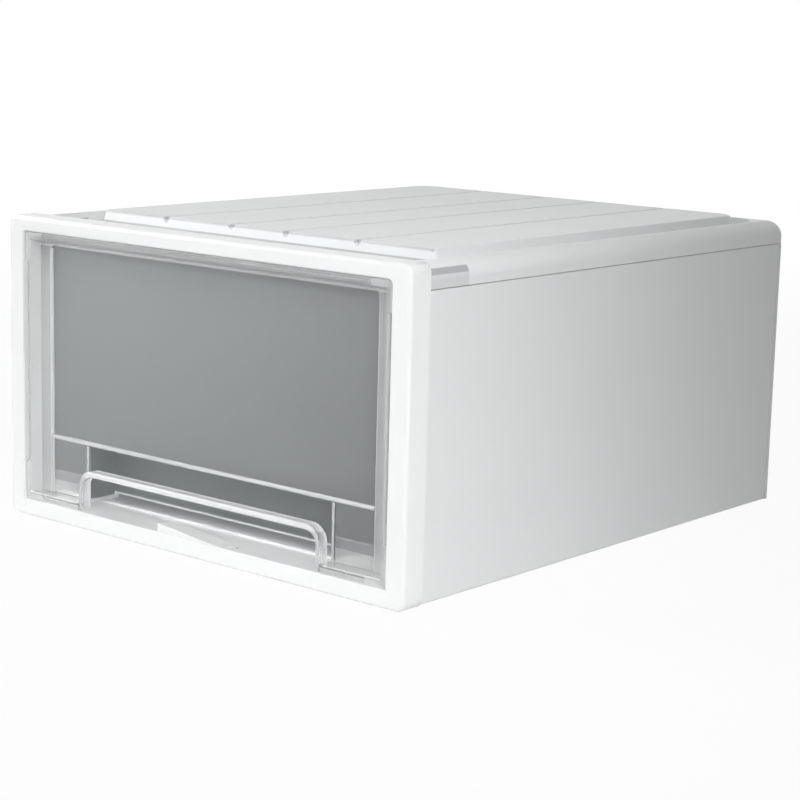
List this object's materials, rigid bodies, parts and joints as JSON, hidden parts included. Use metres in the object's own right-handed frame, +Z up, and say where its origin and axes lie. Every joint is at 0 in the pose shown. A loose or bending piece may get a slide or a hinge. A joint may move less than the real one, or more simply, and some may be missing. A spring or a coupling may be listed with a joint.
{
  "type": "stackable drawer box",
  "caption": "Stackable storage box with a white housing, a raised grooved top, a clear-fronted sliding drawer with an arch handle, and a sprung stop tongue in the sill.",
  "frame": {"origin": "middle of the footprint, on the surface that the box stands on", "axes": "+Z up, -Y is the way the drawer opens, +X to the right of someone facing the drawer"},
  "size_m": [0.34, 0.405, 0.1995],
  "materials": {
    "white_shell": "smooth moulded, semi-gloss",
    "white_fastener": "moulded",
    "steel_pin": "drawn",
    "steel_spring": "rolled",
    "smoke_tub": "smoky translucent",
    "smoke_front": "smoky clear, polished",
    "clear_handle": "clear, polished"
  },
  "bodies": {
    "housing": {"front_frame": "white_shell", "top_cover": "white_shell", "side_panel_left": "white_shell", "side_panel_right": "white_shell", "back_panel": "white_shell", "base_panel": "white_shell", "runner_left": "white_shell", "runner_right": "white_shell", "base_rivets": "white_fastener", "back_rivets": "white_fastener", "tongue_pin": "steel_pin", "tongue_spring": "steel_spring"},
    "drawer": {"drawer_tub": "smoke_tub", "drawer_front": "smoke_front", "handle_bar": "clear_handle"},
    "tongue": {"stop_tongue": "white_shell"}
  },
  "joints": [
    {"name": "drawer_slide", "type": "slide", "parent": "housing", "child": "drawer", "axis": [0, -1, 0], "range_m": [0, 0.2895]},
    {"name": "tongue_hinge", "type": "hinge", "parent": "housing", "child": "tongue", "pos_m": [0.0258, -0.1948, 0.009], "axis": [0, -1, 0], "range_deg": [0, 5], "stiffness_Nm_per_rad": 1, "deforming": ["tongue_spring"]}
  ]
}
